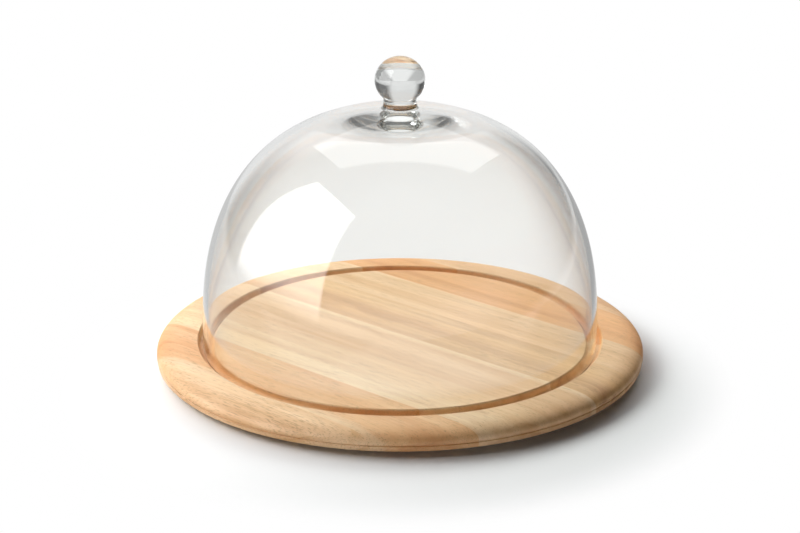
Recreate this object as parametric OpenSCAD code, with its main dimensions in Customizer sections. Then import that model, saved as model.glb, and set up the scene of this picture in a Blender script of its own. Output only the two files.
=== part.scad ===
// Glass food cover on a round serving board.
// A blown dome with a solid ball knob stands in a turned groove of a board
// glued up from eight staves. The origin is under the middle of the board,
// +Z is up and +X runs along the grain.

/* [Dome] */
// Outer diameter of the dome at its skirt
dome_d = 243; // [200:1:280]
// Height of the dome from its rim to its crown, without the knob
dome_h = 147; // [110:1:190]
// Height of the straight skirt above the rim
skirt_h = 6.5; // [3:0.5:20]
// Fullness of the shoulder, where 2 is an ellipse and more is squarer
shoulder_power = 2.45; // [2:0.05:3]
// Thickness of the glass wall
glass_t = 3.2; // [2:0.1:6]
// Swelling of the glass below the knob, inside the dome
crown_extra = 1; // [0:0.5:8]
// Height of the low pad of glass round the knob, outside the dome
crown_pad_h = 3; // [0:0.5:6]
// Radius of the thicker patch that the swelling and the pad share
crown_patch_r = 54; // [20:1:60]
// Round of the fire-polished rim
rim_round = 1.2; // [0.4:0.1:2]

/* [Knob] */
// Widest diameter of the ball
ball_d = 30.2; // [24:0.2:44]
// Height of the whole ball, which is slightly flattened
ball_h = 28.6; // [22:0.2:42]
// Diameter of the neck under the ball
neck_d = 20; // [12:0.5:22]
// Height of the straight part of the neck
neck_h = 3; // [0.5:0.5:10]
// Width of the flare from the neck out to the foot
flare_w = 1.6; // [0.8:0.1:8]
// Height of the flare
flare_h = 2.9; // [1:0.1:8]
// Height of the edge of the flared foot
foot_edge = 0.4; // [0.2:0.1:1]

/* [Groove] */
// Depth of the groove that takes the rim
groove_depth = 5; // [3:0.5:8]
// Radial play between the rim and either wall of the groove
groove_play = 3; // [2:0.25:5]
// Ease on the two upper arrises of the groove
groove_ease = 0.6; // [0.2:0.1:1]
// Cove in the two corners of the groove's floor
groove_cove = 2.5; // [0.5:0.25:3]

/* [Board] */
// Thickness of the board
board_t = 15; // [14:0.5:25]
// Width of the margin outside the groove
margin_w = 25.5; // [15:0.5:45]
// Width of the rounded part of the margin
edge_round_w = 20; // [6:0.5:24]
// Drop of the rounded part, from the top to the widest arris
edge_round_h = 7; // [3:0.5:7.5]
// Fullness of the rounded part, where 2 is an ellipse and more is squarer
edge_power = 2.5; // [2:0.05:3]
// Height of the turned line between the rounded part and the upright edge
line_h = 0.8; // [0.4:0.1:1]
// Depth of the turned line
line_d = 0.6; // [0.3:0.1:1]
// Lean of the upright edge between the turned line and the finger bevel
edge_lean = 0.4; // [0.2:0.1:1.5]
// Height of the finger bevel under the edge
undercut_h = 4.5; // [1:0.5:5]
// Width of the finger bevel, from the widest arris in to the underside
undercut_w = 13; // [4:0.5:18]

/* [Staves] */
// Width of stave 1, at the front; together the eight are planed to fill the board
stave_1_w = 26.5; // [20:0.5:50]
// Width of stave 2
stave_2_w = 44; // [20:0.5:50]
// Width of stave 3
stave_3_w = 42.5; // [20:0.5:50]
// Width of stave 4
stave_4_w = 36.5; // [20:0.5:50]
// Width of stave 5
stave_5_w = 40.5; // [20:0.5:50]
// Width of stave 6
stave_6_w = 35; // [20:0.5:50]
// Width of stave 7
stave_7_w = 40; // [20:0.5:50]
// Width of stave 8, at the back
stave_8_w = 35; // [20:0.5:50]

/* [Hidden] */
$fn = 128;
profile_steps = 48;
patch_steps = 12;
round_steps = 14;
fillet_steps = 6;
past = 1;

dome_r = dome_d / 2;
dome_inner_r = dome_r - glass_t;
groove_outer_r = dome_r + groove_play;
groove_inner_r = dome_inner_r - groove_play;
board_r = groove_outer_r + margin_w;

groove_floor_z = board_t - groove_depth;
rim_z = groove_floor_z;
skirt_z = rim_z + skirt_h;
shoulder_h = dome_h - skirt_h;
rim_fillet = min(rim_round, 0.45 * glass_t);

neck_r = neck_d / 2;
foot_r = neck_r + flare_w;
seat_z = crown_z(dome_r, shoulder_h, foot_r) + crown_pad_h * swelling(foot_r);

ball_r = ball_d / 2;
neck_angle = acos(neck_r / ball_r);
flare_z = seat_z + foot_edge + flare_h;
ball_z = flare_z + neck_h + ball_h / 2 * sin(neck_angle);

stave_w = [
    stave_1_w, stave_2_w, stave_3_w, stave_4_w,
    stave_5_w, stave_6_w, stave_7_w, stave_8_w
];
stave_count = len(stave_w);
panel_w = width_before(stave_count);
stave_colors = [
    "burlywood", "sandybrown", "wheat", "tan",
    "#b98a5e", "#dcb48c", "#d99a5b", "navajowhite"
];

function stave_name(i) = str("board_stave_", i);

// Width of the first i staves as they lie in the panel.
function width_before(i) = i == 0 ? 0 : stave_w[i - 1] + width_before(i - 1);

// Glue line behind stave i. The panel fills the board, and its outer edges run past it.
function glue_y(i) =
    i == 0 ? -board_r - past :
    i == stave_count ? board_r + past :
    2 * board_r * width_before(i) / panel_w - board_r;

// Points of an arc from angle a to angle b, on a circle or on an ellipse of half-height h.
function arc(x, z, r, a, b, steps, h = undef) =
    [
        for (i = [0 : steps])
            let (t = a + (b - a) * i / steps)
            [x + r * cos(t), z + (is_undef(h) ? r : h) * sin(t)]
    ];

// A point of the dome's rounded profile: t runs from 0 at the skirt to 90 at the crown.
function shoulder(r, h, t) =
    [r * pow(cos(t), 2 / shoulder_power), skirt_z + h * pow(sin(t), 2 / shoulder_power)];

// Height of the same profile at radius r from the axis.
function crown_z(r_max, h, r) =
    skirt_z + h * pow(1 - pow(r / r_max, shoulder_power), 1 / shoulder_power);

// Angle at which the profile reaches the edge of the thicker patch.
function patch_angle(r_max) = acos(pow(crown_patch_r / r_max, shoulder_power / 2));

// Share of the thicker patch at radius r, smooth from 1 on the axis to 0 at its edge.
function swelling(r) = r < crown_patch_r ? (1 + cos(180 * r / crown_patch_r)) / 2 : 0;

// Blown dome: rounded rim, straight skirt, full shoulder, low pad and a flat seat for the knob.
module glass_dome() {
    inner_h = shoulder_h - glass_t;
    outer = [
        for (i = [0 : profile_steps])
            shoulder(dome_r, shoulder_h, patch_angle(dome_r) * i / profile_steps)
    ];
    pad = [
        for (i = [1 : patch_steps])
            let (r = crown_patch_r + (foot_r - crown_patch_r) * i / patch_steps)
            [r, crown_z(dome_r, shoulder_h, r) + crown_pad_h * swelling(r)]
    ];
    under = [
        for (i = [0 : patch_steps - 1])
            let (r = crown_patch_r * i / patch_steps)
            [r, crown_z(dome_inner_r, inner_h, r) - crown_extra * swelling(r)]
    ];
    inner = [
        for (i = [profile_steps : -1 : 0])
            shoulder(dome_inner_r, inner_h, patch_angle(dome_inner_r) * i / profile_steps)
    ];
    color("lightcyan", 0.4)
        rotate_extrude()
            polygon(concat(
                arc(dome_inner_r + rim_fillet, rim_z + rim_fillet, rim_fillet, 180, 270, fillet_steps),
                arc(dome_r - rim_fillet, rim_z + rim_fillet, rim_fillet, 270, 360, fillet_steps),
                outer,
                pad,
                [[0, seat_z]],
                under,
                inner
            ));
}

// Solid ball on a short neck, with a small flared foot sealed to the pad on the crown.
module glass_knob() {
    ball = [
        for (i = [0 : profile_steps])
            let (t = -neck_angle + (90 + neck_angle) * i / profile_steps)
            [i < profile_steps ? ball_r * cos(t) : 0, ball_z + ball_h / 2 * sin(t)]
    ];
    color("azure", 0.5)
        rotate_extrude()
            polygon(concat(
                [[0, seat_z], [foot_r, seat_z]],
                arc(foot_r, flare_z, flare_w, 270, 180, fillet_steps, flare_h),
                ball
            ));
}

// Turned board before it is cut by the groove. Its edge runs from the finger bevel up the upright
// edge and the turned line to the rounded margin.
module board_blank() {
    margin = [
        for (i = [0 : round_steps])
            let (t = 90 * i / round_steps)
            [
                board_r - edge_round_w * (1 - pow(cos(t), 2 / edge_power)),
                board_t - edge_round_h * (1 - pow(sin(t), 2 / edge_power))
            ]
    ];
    arris_z = board_t - edge_round_h;
    bevel = [[board_r - undercut_w, 0], [board_r - edge_lean, undercut_h]];
    line = [[board_r, arris_z - line_h], [board_r - line_d, arris_z - line_h / 2]];
    rotate_extrude()
        polygon(concat([[0, 0]], bevel, line, margin, [[0, board_t]]));
}

// Ring that is cut from the board, with coved floor corners and eased arrises.
module groove_ring() {
    cove_z = groove_floor_z + groove_cove;
    mouth_w = groove_ease + past;
    rotate_extrude()
        polygon(concat(
            [[groove_inner_r - mouth_w, board_t + past], [groove_inner_r, board_t - groove_ease]],
            arc(groove_inner_r + groove_cove, cove_z, groove_cove, 180, 270, fillet_steps),
            arc(groove_outer_r - groove_cove, cove_z, groove_cove, 270, 360, fillet_steps),
            [[groove_outer_r, board_t - groove_ease], [groove_outer_r + mouth_w, board_t + past]]
        ));
}

// One stave of the board, between its two glue lines.
module board_stave(i) {
    color(stave_colors[i - 1])
        intersection() {
            difference() {
                board_blank();
                groove_ring();
            }
            translate([-board_r - past, glue_y(i - 1), -past])
                cube([2 * (board_r + past), glue_y(i) - glue_y(i - 1), board_t + 2 * past]);
        }
}

glass_dome();
glass_knob();
for (i = [1 : stave_count])
    board_stave(i);
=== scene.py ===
import bpy
import numpy as np
from mathutils import Matrix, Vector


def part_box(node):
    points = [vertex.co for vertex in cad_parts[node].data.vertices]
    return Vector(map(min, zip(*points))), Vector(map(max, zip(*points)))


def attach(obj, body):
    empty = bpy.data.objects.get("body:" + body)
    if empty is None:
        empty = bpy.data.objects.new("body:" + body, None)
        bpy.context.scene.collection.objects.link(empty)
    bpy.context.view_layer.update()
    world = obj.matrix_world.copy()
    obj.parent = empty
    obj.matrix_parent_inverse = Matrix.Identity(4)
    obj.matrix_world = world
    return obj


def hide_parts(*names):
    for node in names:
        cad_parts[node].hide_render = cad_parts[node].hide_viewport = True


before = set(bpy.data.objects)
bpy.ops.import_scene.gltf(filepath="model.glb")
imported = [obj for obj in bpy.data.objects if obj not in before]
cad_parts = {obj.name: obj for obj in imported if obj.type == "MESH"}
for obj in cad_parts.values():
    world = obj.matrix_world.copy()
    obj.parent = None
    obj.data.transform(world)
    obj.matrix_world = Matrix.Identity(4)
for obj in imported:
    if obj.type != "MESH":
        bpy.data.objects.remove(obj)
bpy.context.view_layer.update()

# Board staves
# Eight staves of one light hardwood, edge-glued, turned into a round board and oiled.
# Each stave keeps its own tone; the rings lie about a pith line below it, along the grain.


def group_socket(group, name, side, kind, value=None):
    """Add a named socket to a node group and give an input its usual value."""
    socket = group.interface.new_socket(name=name, in_out=side, socket_type=kind)
    if value is not None:
        socket.default_value = value


def add_node(tree, kind, **settings):
    """Add a node and set its plain properties."""
    node = tree.nodes.new(kind)
    for key, value in settings.items():
        setattr(node, key, value)
    return node


def math(tree, operation, first, second=None, third=None, clamp=False):
    """A Math node fed by sockets or plain numbers; returns its output."""
    node = add_node(tree, "ShaderNodeMath", operation=operation, use_clamp=clamp)
    for slot, value in zip(node.inputs, (first, second, third)):
        if value is None:
            continue
        if isinstance(value, (int, float)):
            slot.default_value = value
        else:
            tree.links.new(value, slot)
    return node.outputs[0]


def remainder(tree, share):
    """What a share leaves of 1."""
    return math(tree, "SUBTRACT", 1.0, share)


def axes_of(tree, vector):
    """The three parts of a vector, by the names of their axes."""
    node = add_node(tree, "ShaderNodeSeparateXYZ")
    tree.links.new(vector, node.inputs[0])
    return node.outputs


def length_of(tree, vector):
    """Length of a vector."""
    node = add_node(tree, "ShaderNodeVectorMath", operation="LENGTH")
    tree.links.new(vector, node.inputs[0])
    return node.outputs["Value"]


def stretched_noise(tree, place, scale, detail=2.0, rough=0.5):
    """Noise over Object coordinates scaled by a different amount along each axis."""
    mapping = add_node(tree, "ShaderNodeMapping", vector_type="POINT")
    mapping.inputs["Scale"].default_value = scale
    tree.links.new(place, mapping.inputs["Vector"])
    noise = add_node(tree, "ShaderNodeTexNoise", noise_dimensions="3D")
    noise.inputs["Scale"].default_value = 1.0
    noise.inputs["Detail"].default_value = detail
    noise.inputs["Roughness"].default_value = rough
    tree.links.new(mapping.outputs[0], noise.inputs["Vector"])
    return noise.outputs["Fac"]


def stepped(tree, value, low, high):
    """Smooth step from 0 to 1 between two values."""
    node = add_node(tree, "ShaderNodeMapRange", interpolation_type="SMOOTHSTEP")
    node.inputs["From Min"].default_value = low
    node.inputs["From Max"].default_value = high
    tree.links.new(value, node.inputs["Value"])
    return node.outputs["Result"]


PORE_CONTRAST = 14.0

# In metres: how far the growth rings sway, how far out the painted shade on the rounded rim begins
# and is full, and how far up and how far out the painted shade in the groove ends.
RING_SWAY = 0.022
RIM_SHADE_SPAN = (0.134, 0.149)
GROOVE_SHADE_HEIGHT = (0.0128, 0.0148)
GROOVE_SHADE_WALL = (0.1255, 0.1275)


def wood_figure_group():
    """Figure of sawn wood: growth rings about a pith line along X, slow streaks, a blush, fine
    fibres and short dark pores, all drawn out along the grain, and masks for painted shade on the
    turned rim and in the groove."""
    group = bpy.data.node_groups.new("wood_figure", "ShaderNodeTree")
    group_socket(group, "Place", "INPUT", "NodeSocketVector")
    group_socket(group, "Pith", "INPUT", "NodeSocketVector")
    group_socket(group, "Ring Pitch", "INPUT", "NodeSocketFloat", 0.006)
    group_socket(group, "Pore Share", "INPUT", "NodeSocketFloat", 0.5)
    for name in ("Rings", "Streaks", "Blush", "Fibre", "Pores", "Rim", "Groove"):
        group_socket(group, name, "OUTPUT", "NodeSocketFloat")
    entry = add_node(group, "NodeGroupInput")
    leave = add_node(group, "NodeGroupOutput")
    place = entry.outputs["Place"]

    shifted = add_node(group, "ShaderNodeVectorMath", operation="SUBTRACT")
    group.links.new(place, shifted.inputs[0])
    group.links.new(entry.outputs["Pith"], shifted.inputs[1])
    seeded = shifted.outputs[0]

    # Rings are dark late wood that rises slowly and ends sharply, fading in and out along the grain.
    parts = axes_of(group, seeded)
    across = math(group, "MULTIPLY", parts["Y"], parts["Y"])
    below = math(group, "MULTIPLY", parts["Z"], parts["Z"])
    radius = math(group, "SQRT", math(group, "ADD", across, below))
    sway = stretched_noise(group, seeded, (9.0, 30.0, 30.0), 2.0)
    radius = math(group, "MULTIPLY_ADD", math(group, "SUBTRACT", sway, 0.5), RING_SWAY, radius)
    ring = math(group, "FRACT", math(group, "DIVIDE", radius, entry.outputs["Ring Pitch"]))
    rise = stepped(group, ring, 0.45, 0.92)
    fall = stepped(group, ring, 0.93, 1.0)
    rings = math(group, "MULTIPLY", rise, remainder(group, fall))
    fade = stepped(group, stretched_noise(group, seeded, (7.0, 60.0, 60.0), 1.0), 0.35, 0.65)
    group.links.new(math(group, "MULTIPLY", rings, fade), leave.inputs["Rings"])

    bands = stepped(group, stretched_noise(group, seeded, (4.0, 85.0, 85.0), 2.0), 0.32, 0.68)
    stripes = stepped(group, stretched_noise(group, seeded, (7.0, 330.0, 330.0), 2.0), 0.3, 0.7)
    streaks = math(group, "MULTIPLY_ADD", stripes, 0.35, math(group, "MULTIPLY", bands, 0.65))
    group.links.new(streaks, leave.inputs["Streaks"])
    blush = stepped(group, stretched_noise(group, seeded, (6.0, 45.0, 45.0), 1.0), 0.35, 0.7)
    group.links.new(blush, leave.inputs["Blush"])

    fibre = stretched_noise(group, seeded, (40.0, 1500.0, 1500.0), 3.0, 0.6)
    group.links.new(stepped(group, fibre, 0.25, 0.75), leave.inputs["Fibre"])

    # Pores are the peaks of a short dashed noise, more of them where a slower noise is high.
    dashes = stretched_noise(group, seeded, (150.0, 2000.0, 2000.0), 1.0)
    clumps = stretched_noise(group, seeded, (18.0, 90.0, 90.0), 2.0)
    lower = math(group, "MULTIPLY_ADD", clumps, -0.22, 0.79)
    level = math(group, "MULTIPLY_ADD", entry.outputs["Pore Share"], -0.10, lower)
    peaks = math(group, "SUBTRACT", dashes, level)
    pores = math(group, "MULTIPLY", peaks, PORE_CONTRAST, clamp=True)
    group.links.new(pores, leave.inputs["Pores"])

    # Masks for painted shade: the rounded rim, and the groove with the wood low down inside its outer
    # wall.
    flat = add_node(group, "ShaderNodeVectorMath", operation="MULTIPLY")
    group.links.new(place, flat.inputs[0])
    flat.inputs[1].default_value = (1.0, 1.0, 0.0)
    reach = length_of(group, flat.outputs[0])
    group.links.new(stepped(group, reach, *RIM_SHADE_SPAN), leave.inputs["Rim"])
    sunk = remainder(group, stepped(group, axes_of(group, place)["Z"], *GROOVE_SHADE_HEIGHT))
    inside_wall = remainder(group, stepped(group, reach, *GROOVE_SHADE_WALL))
    group.links.new(math(group, "MULTIPLY", sunk, inside_wall), leave.inputs["Groove"])
    return group


wood_figure = wood_figure_group()


def blended(tree, share, first, second, mode="MIX"):
    """Colour mix by a socket or a plain share."""
    node = add_node(tree, "ShaderNodeMix", data_type="RGBA", blend_type=mode)
    for slot, value in ((node.inputs[0], share), (node.inputs[6], first), (node.inputs[7], second)):
        if isinstance(value, bpy.types.NodeSocket):
            tree.links.new(value, slot)
        elif isinstance(value, (int, float)):
            slot.default_value = value
        else:
            slot.default_value = (*value, 1.0)
    return node.outputs[2]


# Tints over the two tones of a stave, and the share that each takes at most.
STREAK_SHARE = 0.8
BLUSH_TINT = (1.0, 0.90, 0.76)
BLUSH_SHARE = 0.5
SAPWOOD = (0.90, 0.68, 0.43)
SAPWOOD_SHARE = 0.75
FIBRE_SHADE = 0.75
FIBRE_SHARE = 0.18
PORE_BROWN = (0.36, 0.19, 0.07)
PORE_SHARE = 0.5
# Painted shade: the rim tint darkens and warms the rounded rim where it turns away from the light.
RIM_SHADE_TINT = (0.93, 0.82, 0.70)
RIM_SHADE_SHARE = 0.7
# Painted shade: the groove tint darkens and warms the groove and the wood below its rim, where less
# light reaches.
GROOVE_SHADE_TINT = (1.0, 0.90, 0.80)

# In metres: how far from its line the sapwood ends, how far that end wanders, and the relief.
SAPWOOD_END = (0.004, 0.010)
SAPWOOD_WANDER = 0.004
RELIEF = 0.00006


def oiled_stave(name, light, dark, pith, pitch, pores, rings, span, lean, sap):
    """Oiled hardwood of one stave: its light and dark tones over its own figure. The lean makes
    the stave darker towards its far edge, or towards its near edge when it is negative. A strip
    of pale sapwood lies along the line across the grain that sap names."""
    material = bpy.data.materials.new(name)
    material.use_nodes = True
    tree = material.node_tree
    shader = tree.nodes["Principled BSDF"]
    place = add_node(tree, "ShaderNodeTexCoord").outputs["Object"]
    figure = add_node(tree, "ShaderNodeGroup", node_tree=wood_figure)
    figure.inputs["Pith"].default_value = pith
    figure.inputs["Ring Pitch"].default_value = pitch
    figure.inputs["Pore Share"].default_value = pores
    tree.links.new(place, figure.inputs["Place"])
    along_y = axes_of(tree, place)["Y"]
    across = add_node(tree, "ShaderNodeMapRange")
    tree.links.new(along_y, across.inputs["Value"])
    across.inputs["From Min"].default_value = span[0]
    across.inputs["From Max"].default_value = span[1]
    across.inputs["To Min"].default_value = -0.5 * lean
    across.inputs["To Max"].default_value = 0.5 * lean
    tone = math(tree, "MULTIPLY_ADD", figure.outputs["Rings"], rings,
                math(tree, "MULTIPLY", figure.outputs["Streaks"], STREAK_SHARE))
    tone = math(tree, "ADD", tone, across.outputs["Result"], clamp=True)
    colour = blended(tree, tone, light, dark)
    warm = math(tree, "MULTIPLY", figure.outputs["Blush"], BLUSH_SHARE)
    colour = blended(tree, warm, colour, BLUSH_TINT, "MULTIPLY")
    from_sap = math(tree, "ABSOLUTE", math(tree, "SUBTRACT", along_y, sap))
    from_sap = math(tree, "MULTIPLY_ADD", figure.outputs["Streaks"], SAPWOOD_WANDER, from_sap)
    past_sap = stepped(tree, from_sap, *SAPWOOD_END)
    pale = math(tree, "MULTIPLY_ADD", past_sap, -SAPWOOD_SHARE, SAPWOOD_SHARE)
    colour = blended(tree, pale, colour, SAPWOOD)
    fine = math(tree, "MULTIPLY", figure.outputs["Fibre"], FIBRE_SHARE)
    colour = blended(tree, fine, colour, tuple(FIBRE_SHADE * c for c in dark))
    specks = math(tree, "MULTIPLY", figure.outputs["Pores"], PORE_SHARE)
    colour = blended(tree, specks, colour, PORE_BROWN)
    # Painted shade: the rounded rim and the groove are darkened and warmed by multiplying tints.
    rim_shade = math(tree, "MULTIPLY", figure.outputs["Rim"], RIM_SHADE_SHARE)
    colour = blended(tree, rim_shade, colour, RIM_SHADE_TINT, "MULTIPLY")
    # Painted shade in the groove.
    colour = blended(tree, figure.outputs["Groove"], colour, GROOVE_SHADE_TINT, "MULTIPLY")
    tree.links.new(colour, shader.inputs["Base Color"])
    sheen = math(tree, "MULTIPLY_ADD", figure.outputs["Fibre"], 0.12, 0.40)
    tree.links.new(sheen, shader.inputs["Roughness"])
    height = math(tree, "MULTIPLY_ADD", figure.outputs["Pores"], -1.0, figure.outputs["Fibre"])
    bump = add_node(tree, "ShaderNodeBump")
    bump.inputs["Strength"].default_value = 0.2
    bump.inputs["Distance"].default_value = RELIEF
    tree.links.new(height, bump.inputs["Height"])
    tree.links.new(bump.outputs["Normal"], shader.inputs["Normal"])
    return material


# Light tone, dark tone, share of pores, strength of the rings, lean, and the edge with sapwood.
stave_tones = {
    "board_stave_1": ((0.95, 0.70, 0.45), (0.72, 0.44, 0.21), 1.0, 0.5, -0.2, None),
    "board_stave_2": ((0.87, 0.56, 0.29), (0.69, 0.34, 0.14), 0.7, 0.5, 0.0, "near"),
    "board_stave_3": ((0.90, 0.67, 0.41), (0.71, 0.43, 0.22), 0.5, 0.3, 0.6, None),
    "board_stave_4": ((0.87, 0.61, 0.37), (0.68, 0.41, 0.20), 0.4, 0.3, -0.4, "far"),
    "board_stave_5": ((0.85, 0.56, 0.28), (0.60, 0.33, 0.15), 0.5, 0.4, -0.4, None),
    "board_stave_6": ((0.91, 0.63, 0.36), (0.72, 0.44, 0.21), 0.4, 0.2, -0.2, None),
    "board_stave_7": ((0.87, 0.49, 0.21), (0.68, 0.32, 0.12), 0.4, 0.3, -0.4, None),
    "board_stave_8": ((0.89, 0.61, 0.35), (0.71, 0.42, 0.21), 0.5, 0.3, 0.0, None),
}
OFF_THE_BOARD = 1.0
draw = np.random.default_rng(7)
for node_name, (light, dark, pores, rings, lean, sap_edge) in stave_tones.items():
    low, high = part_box(node_name)
    middle_y = 0.5 * (low[1] + high[1])
    pith = (draw.uniform(-1.0, 1.0), middle_y + draw.uniform(-0.03, 0.03), draw.uniform(-0.09, -0.03))
    pitch = draw.uniform(0.005, 0.009)
    span = (float(low[1]), float(high[1]))
    sap = {"near": span[0], "far": span[1], None: OFF_THE_BOARD}[sap_edge]
    material = oiled_stave(node_name + "_oiled", light, dark, pith, pitch, pores, rings, span, lean, sap)
    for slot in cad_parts[node_name].material_slots:
        slot.material = material

# Glass cover
# A blown dome with a solid ball knob sealed to its crown while both were hot, so the two are one
# piece of clear glass. The wall thickens round and under the knob, and the rim is fire-polished round.

MM = 0.001
rim_z = float(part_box("glass_dome")[0][2])
knob_top = float(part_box("glass_knob")[1][2])
dome_r = 121.5 * MM
dome_h = 147.0 * MM
skirt_h = 6.5 * MM
shoulder_power = 2.45
glass_t = 3.2 * MM
crown_extra = 1.0 * MM
crown_pad_h = 3.0 * MM
crown_patch_r = 54.0 * MM
rim_round = 1.2 * MM
neck_r = 10.0 * MM
flare_w = 1.6 * MM
flare_h = 3.3 * MM
ball_r = 15.1 * MM
ball_half = 14.3 * MM

# Points along each stretch of the profile, and steps round the axis.
PATCH_POINTS = 48
WALL_POINTS = 70
RIM_POINTS = 9
PAD_POINTS = 36
FLARE_POINTS = 16
BALL_POINTS = 56
TURNS = 300


def shoulder(r, h, t):
    """Superellipse from the top of the skirt to the crown, t from 0 to a right angle."""
    x = r * np.cos(t).clip(0.0) ** (2.0 / shoulder_power)
    z = rim_z + skirt_h + h * np.sin(t) ** (2.0 / shoulder_power)
    return np.stack([x, z], 1)


def crown(r_max, h, r, swelling):
    """Same superellipse at radius r, with a share of a smooth bell that ends at the patch's edge."""
    z = rim_z + skirt_h + h * (1.0 - (r / r_max) ** shoulder_power) ** (1.0 / shoulder_power)
    return np.stack([r, z + swelling * (0.5 + 0.5 * np.cos(np.pi * r / crown_patch_r))], 1)


def patch_angle(r_max):
    """Angle of the superellipse at the edge of the thicker patch."""
    return np.arccos((crown_patch_r / r_max) ** (shoulder_power / 2.0))


def arc(x, z, rx, rz, start, stop, count):
    """Elliptical arc about (x, z), angles in degrees."""
    t = np.radians(np.linspace(start, stop, count))
    return np.stack([x + rx * np.cos(t), z + rz * np.sin(t)], 1)


def lathe(profile, turns):
    """Surface of revolution about Z: the profile's points swept round, poles closed by one point."""
    angle = np.linspace(0.0, 2.0 * np.pi, turns, endpoint=False)
    ring = profile[1:-1]
    x = ring[:, :1] * np.cos(angle)
    y = ring[:, :1] * np.sin(angle)
    z = np.repeat(ring[:, 1:], turns, 1)
    points = np.concatenate([np.stack([x, y, z], -1).reshape(-1, 3),
                             [[0.0, 0.0, profile[0, 1]], [0.0, 0.0, profile[-1, 1]]]])
    row, col = np.meshgrid(np.arange(len(ring) - 1), np.arange(turns), indexing="ij")
    after = (col + 1) % turns
    quads = np.stack([row * turns + col, row * turns + after,
                      (row + 1) * turns + after, (row + 1) * turns + col], -1).reshape(-1, 4)
    first, last = len(ring) * turns, len(ring) * turns + 1
    step = np.arange(turns)
    start_fan = np.stack([np.full(turns, first), (step + 1) % turns, step], 1)
    base = (len(ring) - 1) * turns
    end_fan = np.stack([base + step, base + (step + 1) % turns, np.full(turns, last)], 1)
    return points, quads.tolist() + start_fan.tolist() + end_fan.tolist()


def smooth_piece(name, points, faces, material):
    """Mesh object at the origin with smooth shading and one material."""
    mesh = bpy.data.meshes.new(name)
    mesh.from_pydata(points.tolist(), [], faces)
    mesh.polygons.foreach_set("use_smooth", np.ones(len(mesh.polygons), dtype=bool))
    mesh.materials.append(material)
    mesh.validate()
    piece = bpy.data.objects.new(name, mesh)
    bpy.context.scene.collection.objects.link(piece)
    return piece


# The profile runs from the axis inside, down the inner wall, round the rim and up to the ball's top.
inner_r = dome_r - glass_t
outer_h = dome_h - skirt_h
inner_h = outer_h - glass_t
foot_r = neck_r + flare_w
under = crown(inner_r, inner_h, np.linspace(0.0, crown_patch_r, PATCH_POINTS), -crown_extra)
inner = shoulder(inner_r, inner_h, np.linspace(patch_angle(inner_r), 0.0, WALL_POINTS))[1:]
rim_in = arc(inner_r + rim_round, rim_z + rim_round, rim_round, rim_round, 180, 270, RIM_POINTS)
rim_out = arc(dome_r - rim_round, rim_z + rim_round, rim_round, rim_round, 270, 360, RIM_POINTS)
outer = shoulder(dome_r, outer_h, np.linspace(0.0, patch_angle(dome_r), WALL_POINTS))
pad = crown(dome_r, outer_h, np.linspace(crown_patch_r, foot_r, PAD_POINTS), crown_pad_h)[1:]
flare = arc(foot_r, pad[-1, 1] + flare_h, flare_w, flare_h, 270, 180, FLARE_POINTS)[1:]
ball_z = knob_top - ball_half
neck_t = np.degrees(np.arccos(neck_r / ball_r))
ball = arc(0.0, ball_z, ball_r, ball_half, -neck_t, 90, BALL_POINTS)
ball[-1, 0] = 0.0
profile = np.concatenate([under, inner, rim_in, rim_out, outer, pad, flare, ball])

clear_glass = bpy.data.materials.new("clear_glass")
clear_glass.use_nodes = True
tree = clear_glass.node_tree
shader = tree.nodes["Principled BSDF"]
shader.inputs["Base Color"].default_value = (0.985, 0.995, 0.99, 1.0)
shader.inputs["Roughness"].default_value = 0.0
shader.inputs["IOR"].default_value = 1.5
shader.inputs["Transmission Weight"].default_value = 1.0

# Lamps shine straight through the wall on their way to the wood, as they nearly do in real glass.
through = add_node(tree, "ShaderNodeBsdfTransparent")
through.inputs["Color"].default_value = (0.95, 0.96, 0.955, 1.0)
path = add_node(tree, "ShaderNodeLightPath")
lamp_ray = math(tree, "MAXIMUM", path.outputs["Is Shadow Ray"], path.outputs["Is Diffuse Ray"])
mixed = add_node(tree, "ShaderNodeMixShader")
tree.links.new(lamp_ray, mixed.inputs[0])
tree.links.new(shader.outputs[0], mixed.inputs[1])
tree.links.new(through.outputs[0], mixed.inputs[2])
tree.links.new(mixed.outputs[0], tree.nodes["Material Output"].inputs["Surface"])

# Long ways through the glass take a little light, with a trace of green left over.
tint = add_node(tree, "ShaderNodeVolumeAbsorption")
tint.inputs["Color"].default_value = (0.0, 0.06, 0.0, 1.0)
tint.inputs["Density"].default_value = 4.2
tree.links.new(tint.outputs[0], tree.nodes["Material Output"].inputs["Volume"])

cover = smooth_piece("glass_cover", *lathe(profile, TURNS), clear_glass)
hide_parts("glass_dome", "glass_knob")
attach(cover, "cover")

# Studio
# A white table and backdrop, two soft boxes that show in the glass, and four lamps that light the
# wood and the table. Places are right of, away from and above the board as the photograph sees it.

VIEW_TURN = np.radians(41.0)
right = np.array([np.cos(VIEW_TURN), np.sin(VIEW_TURN), 0.0])
away = np.array([-np.sin(VIEW_TURN), np.cos(VIEW_TURN), 0.0])
up = np.array([0.0, 0.0, 1.0])
board_top = float(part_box("board_stave_4")[1][2])


def place(r, a, u):
    """A point so far right, away and above the board's top."""
    return r * right + a * away + (board_top + u) * up


def aimed(centre, facing):
    """Matrix that puts a lamp or camera at a centre and turns it to face a point, long edge level."""
    back = (centre - facing) / np.linalg.norm(centre - facing)
    side = np.cross(up, back) / np.linalg.norm(np.cross(up, back))
    matrix = np.eye(4)
    matrix[:3, :3] = np.stack([side, np.cross(back, side), back], 1)
    matrix[:3, 3] = centre
    return Matrix(matrix.tolist())


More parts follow.
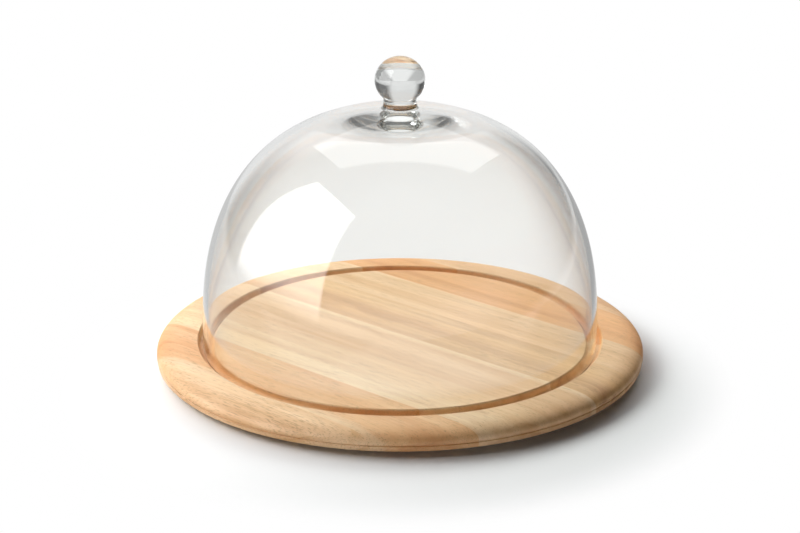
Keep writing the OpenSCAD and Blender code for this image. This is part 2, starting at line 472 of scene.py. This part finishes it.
def soft_box(name, centre, facing, width, height, radiance):
    """Rectangular lamp at a centre, facing a point."""
    lamp = bpy.data.lights.new(name, "AREA")
    lamp.shape = "RECTANGLE"
    lamp.size = width
    lamp.size_y = height
    lamp.energy = radiance * np.pi * width * height
    box = bpy.data.objects.new(name, lamp)
    box.matrix_world = aimed(centre, facing)
    box.visible_camera = False
    bpy.context.scene.collection.objects.link(box)
    return box


def fill_lamp(name, azimuth, elevation, distance, width, height, radiance):
    """Lamp aimed at the board from a direction, which lights it but shows in no reflection."""
    a, e = np.radians(azimuth), np.radians(elevation)
    level_way = distance * np.cos(e)
    centre = place(level_way * np.sin(a), level_way * np.cos(a), distance * np.sin(e))
    box = soft_box(name, centre, place(0.0, 0.0, 0.0), width, height, radiance)
    box.visible_glossy = False
    box.visible_transmission = False


# The two boxes show in the glass and in the sheen of the wood, and light nothing else. The left
# one fades out along one edge, over this share of its height.
FADING_EDGE = (0.0, 0.16)
left_place = place(-0.945, -0.197, 0.80)
left_facing = left_place + 0.949 * right + 0.316 * away
left_box = soft_box("left_box", left_place, left_facing, width=1.21, height=1.67, radiance=3.8)
left_box.visible_diffuse = False
left_box.data.use_nodes = True
tree = left_box.data.node_tree
lamp_place = add_node(tree, "ShaderNodeNewGeometry").outputs["Parametric"]
fading = stepped(tree, axes_of(tree, lamp_place)["Y"], *FADING_EDGE)
tree.links.new(fading, tree.nodes["Emission"].inputs["Strength"])

top_place = place(0.06, 0.49, 0.87)
top_facing = place(0.06, 0.15, 0.44)
top_box = soft_box("top_box", top_place, top_facing, width=1.0, height=0.55, radiance=1.1)
top_box.visible_diffuse = False

# Azimuth from straight behind and elevation in degrees, distance, width, height and radiance.
fill_lamps = {
    "left_fill": (-90.0, 35.0, 1.25, 1.04, 0.52, 6.6),
    "back_left_fill": (-45.0, 38.0, 1.5, 1.25, 1.0, 4.25),
    "back_fill": (0.0, 28.0, 1.8, 1.8, 0.75, 5.9),
    "back_right_fill": (25.0, 32.0, 1.8, 1.2, 0.75, 1.4),
}
for lamp_name, settings in fill_lamps.items():
    fill_lamp(lamp_name, *settings)


def along(tree, vector, axis):
    """How far a vector points along an axis."""
    node = add_node(tree, "ShaderNodeVectorMath", operation="DOT_PRODUCT")
    tree.links.new(vector, node.inputs[0])
    node.inputs[1].default_value = axis
    return node.outputs["Value"]


# Turns from straight behind the board, in degrees and positive to the right: where the backdrop
# starts, where its white and its grey part end, and where the right-hand side and the front start.
BACKDROP_START = (-44.0, -24.0)
WHITE_END = (10.0, 26.0)
GREY_END = (42.0, 50.0)
RIGHT_START = (-20.0, 40.0)
FRONT_START = (90.0, 150.0)
WHITE_SHARE = 0.85
GREY_SHARE = 0.15


def studio_level_group():
    """Shares of the studio by direction: the backdrop behind, white and then grey to its right
    end, the room in front, and the right-hand side."""
    group = bpy.data.node_groups.new("studio_level", "ShaderNodeTree")
    group_socket(group, "Direction", "INPUT", "NodeSocketVector")
    for name in ("Backdrop", "Front", "Right"):
        group_socket(group, name, "OUTPUT", "NodeSocketFloat")
    direction = add_node(group, "NodeGroupInput").outputs["Direction"]
    leave = add_node(group, "NodeGroupOutput")
    turn = math(group, "ARCTAN2", along(group, direction, right), along(group, direction, away))
    turn = math(group, "DEGREES", turn)
    from_left = stepped(group, turn, *BACKDROP_START)
    white_part = remainder(group, stepped(group, turn, *WHITE_END))
    grey_part = remainder(group, stepped(group, turn, *GREY_END))
    white_level = math(group, "MULTIPLY", white_part, WHITE_SHARE)
    level = math(group, "MULTIPLY_ADD", grey_part, GREY_SHARE, white_level)
    group.links.new(math(group, "MULTIPLY", level, from_left), leave.inputs["Backdrop"])
    group.links.new(stepped(group, math(group, "ABSOLUTE", turn), *FRONT_START), leave.inputs["Front"])
    group.links.new(stepped(group, turn, *RIGHT_START), leave.inputs["Right"])
    return group


studio_level = studio_level_group()

TABLE_HALF = 0.8
corners = [TABLE_HALF * (r * right + a * away) for r, a in ((-1, -1), (1, -1), (1, 1), (-1, 1))]
floor_mesh = bpy.data.meshes.new("floor")
floor_mesh.from_pydata([tuple(corner) for corner in corners], [], [(0, 1, 2, 3)])
floor = bpy.data.objects.new("floor", floor_mesh)
bpy.context.scene.collection.objects.link(floor)
white = bpy.data.materials.new("white_table")
white.use_nodes = True
tree = white.node_tree
shader = tree.nodes["Principled BSDF"]
shader.inputs["Base Color"].default_value = (0.93, 0.93, 0.93, 1.0)
shader.inputs["Roughness"].default_value = 0.9
shader.inputs["Specular IOR Level"].default_value = 0.1
spot = add_node(tree, "ShaderNodeTexCoord").outputs["Object"]
path = add_node(tree, "ShaderNodeLightPath")

# Past the shadow the table is overexposed, sooner in the glass than to the camera. The shadow is
# shifted towards the camera. All in metres.
SHADOW_SHIFT = 0.03
SHADOW_END = (0.160, 0.205)
SHADOW_END_IN_GLASS = (0.152, 0.175)
shifted = add_node(tree, "ShaderNodeVectorMath", operation="ADD")
tree.links.new(spot, shifted.inputs[0])
shifted.inputs[1].default_value = SHADOW_SHIFT * away
reach = length_of(tree, shifted.outputs[0])
in_glass = math(tree, "MAXIMUM", path.outputs["Is Glossy Ray"], path.outputs["Is Transmission Ray"])
seen = math(tree, "MAXIMUM", path.outputs["Is Camera Ray"], in_glass)
far_share = math(tree, "MULTIPLY", stepped(tree, reach, *SHADOW_END), seen)
near_share = math(tree, "MULTIPLY", stepped(tree, reach, *SHADOW_END_IN_GLASS), in_glass)
overexposed = math(tree, "MAXIMUM", far_share, near_share)

# In the glass the table is white in a strip that runs away from the camera, grey beside it, more
# so on the right, and brighter in front where the glass mirrors it. The camera sees it white.
STRIP_END = (0.10, 0.19)
FRONT_BEGIN = (0.10, 0.20)
BESIDE_LEVEL = 0.60
RIGHT_LOSS = 0.20
MIRROR_GAIN = 1.1
studio = add_node(tree, "ShaderNodeGroup", node_tree=studio_level)
tree.links.new(spot, studio.inputs["Direction"])
beside = math(tree, "MULTIPLY_ADD", studio.outputs["Right"], -RIGHT_LOSS, BESIDE_LEVEL)
off_line = math(tree, "ABSOLUTE", along(tree, spot, right))
strip = remainder(tree, stepped(tree, off_line, *STRIP_END))
table = math(tree, "MULTIPLY_ADD", strip, remainder(tree, beside), beside)
in_front = stepped(tree, along(tree, spot, -away), *FRONT_BEGIN)
mirrored = math(tree, "MULTIPLY", path.outputs["Is Reflection Ray"], MIRROR_GAIN)
table = math(tree, "MULTIPLY_ADD", in_front, mirrored, table)
table = math(tree, "MULTIPLY_ADD", path.outputs["Is Camera Ray"], remainder(tree, table), table)
glow = add_node(tree, "ShaderNodeEmission")
tree.links.new(table, glow.inputs["Strength"])
mixed = add_node(tree, "ShaderNodeMixShader")
tree.links.new(overexposed, mixed.inputs[0])
tree.links.new(shader.outputs[0], mixed.inputs[1])
tree.links.new(glow.outputs[0], mixed.inputs[2])
tree.links.new(mixed.outputs[0], tree.nodes["Material Output"].inputs["Surface"])
floor_mesh.materials.append(white)

world = bpy.data.worlds.new("studio")
bpy.context.scene.world = world
world.use_nodes = True
tree = world.node_tree
background = tree.nodes["Background"]
background.inputs["Color"].default_value = (1.0, 1.0, 1.0, 1.0)
direction = add_node(tree, "ShaderNodeTexCoord").outputs["Generated"]
height = axes_of(tree, direction)["Z"]
path = add_node(tree, "ShaderNodeLightPath")
studio = add_node(tree, "ShaderNodeGroup", node_tree=studio_level)
tree.links.new(direction, studio.inputs["Direction"])

# Heights of a direction, as its part along Z: where the backdrop ends, where the low part of the
# room ends, where the table's level ends below the horizon and where the overhead light starts.
BACKDROP_TOP = (0.60, 0.72)
LOW_END = (0.0, 0.40)
BELOW_END = (-0.10, 0.0)
OVERHEAD_START = (0.60, 0.85)

# What the glass shows: the backdrop, a dim room that is lighter low down in front, more so where
# the glass mirrors it, and a table that goes on below the horizon.
BACKDROP_LEVEL = 0.75
ROOM_LEVEL = 0.06
FRONT_LEVEL = 0.14
LOW_FRONT_LEVEL = 0.35
LOW_FRONT_GAIN = 1.9
BELOW_LEVEL = 0.70
under_edge = remainder(tree, stepped(tree, height, *BACKDROP_TOP))
backdrop = math(tree, "MULTIPLY", studio.outputs["Backdrop"], under_edge)
low_down = remainder(tree, stepped(tree, height, *LOW_END))
mirrored = math(tree, "MULTIPLY_ADD", path.outputs["Is Reflection Ray"], LOW_FRONT_GAIN, LOW_FRONT_LEVEL)
front = math(tree, "MULTIPLY_ADD", low_down, mirrored, FRONT_LEVEL)
dim = math(tree, "MULTIPLY_ADD", studio.outputs["Front"], front, ROOM_LEVEL)
room = math(tree, "MULTIPLY_ADD", backdrop, BACKDROP_LEVEL, dim)
below = remainder(tree, stepped(tree, height, *BELOW_END))
room = math(tree, "MAXIMUM", room, math(tree, "MULTIPLY", below, BELOW_LEVEL))

# What lights the wood and the table: a little from overhead, more in front, and a low glow in front.
OVERHEAD_LIGHT = 0.02
OVERHEAD_FRONT_LIGHT = 0.04
LOW_FRONT_LIGHT = 0.85
above = math(tree, "MULTIPLY_ADD", studio.outputs["Front"], OVERHEAD_FRONT_LIGHT, OVERHEAD_LIGHT)
lit = math(tree, "MULTIPLY", stepped(tree, height, *OVERHEAD_START), above)
low_front = math(tree, "MULTIPLY", low_down, studio.outputs["Front"])
lit = math(tree, "MULTIPLY_ADD", low_front, LOW_FRONT_LIGHT, lit)
to_lit = math(tree, "SUBTRACT", lit, room)
room = math(tree, "MULTIPLY_ADD", path.outputs["Is Diffuse Ray"], to_lit, room)
level = math(tree, "MAXIMUM", room, path.outputs["Is Camera Ray"])
tree.links.new(level, background.inputs["Strength"])
bpy.context.scene.view_settings.view_transform = "Standard"

# Light runs a long way round inside the thick glass before it leaves, and only a short way
# between wood and table, so the groove and the shadow under the edge stay dark.
GLASS_BOUNCES = 48
WOOD_BOUNCES = 2
cycles = bpy.context.scene.cycles
cycles.max_bounces = GLASS_BOUNCES
cycles.transmission_bounces = GLASS_BOUNCES
cycles.glossy_bounces = GLASS_BOUNCES
cycles.diffuse_bounces = WOOD_BOUNCES

CAMERA_ELEVATION = np.radians(21.85)
CAMERA_DISTANCE = 1.258
AIM_HEIGHT = 0.0439
LENS_MM = 91.3
SENSOR_MM = 36.0
camera_data = bpy.data.cameras.new("camera")
camera_data.lens = LENS_MM
camera_data.sensor_width = SENSOR_MM
camera = bpy.data.objects.new("camera", camera_data)
stand_near = CAMERA_DISTANCE * np.cos(CAMERA_ELEVATION)
stand_height = CAMERA_DISTANCE * np.sin(CAMERA_ELEVATION)
camera.matrix_world = aimed(place(0.0, -stand_near, stand_height), place(0.0, 0.0, AIM_HEIGHT))
bpy.context.scene.collection.objects.link(camera)
bpy.context.scene.camera = camera
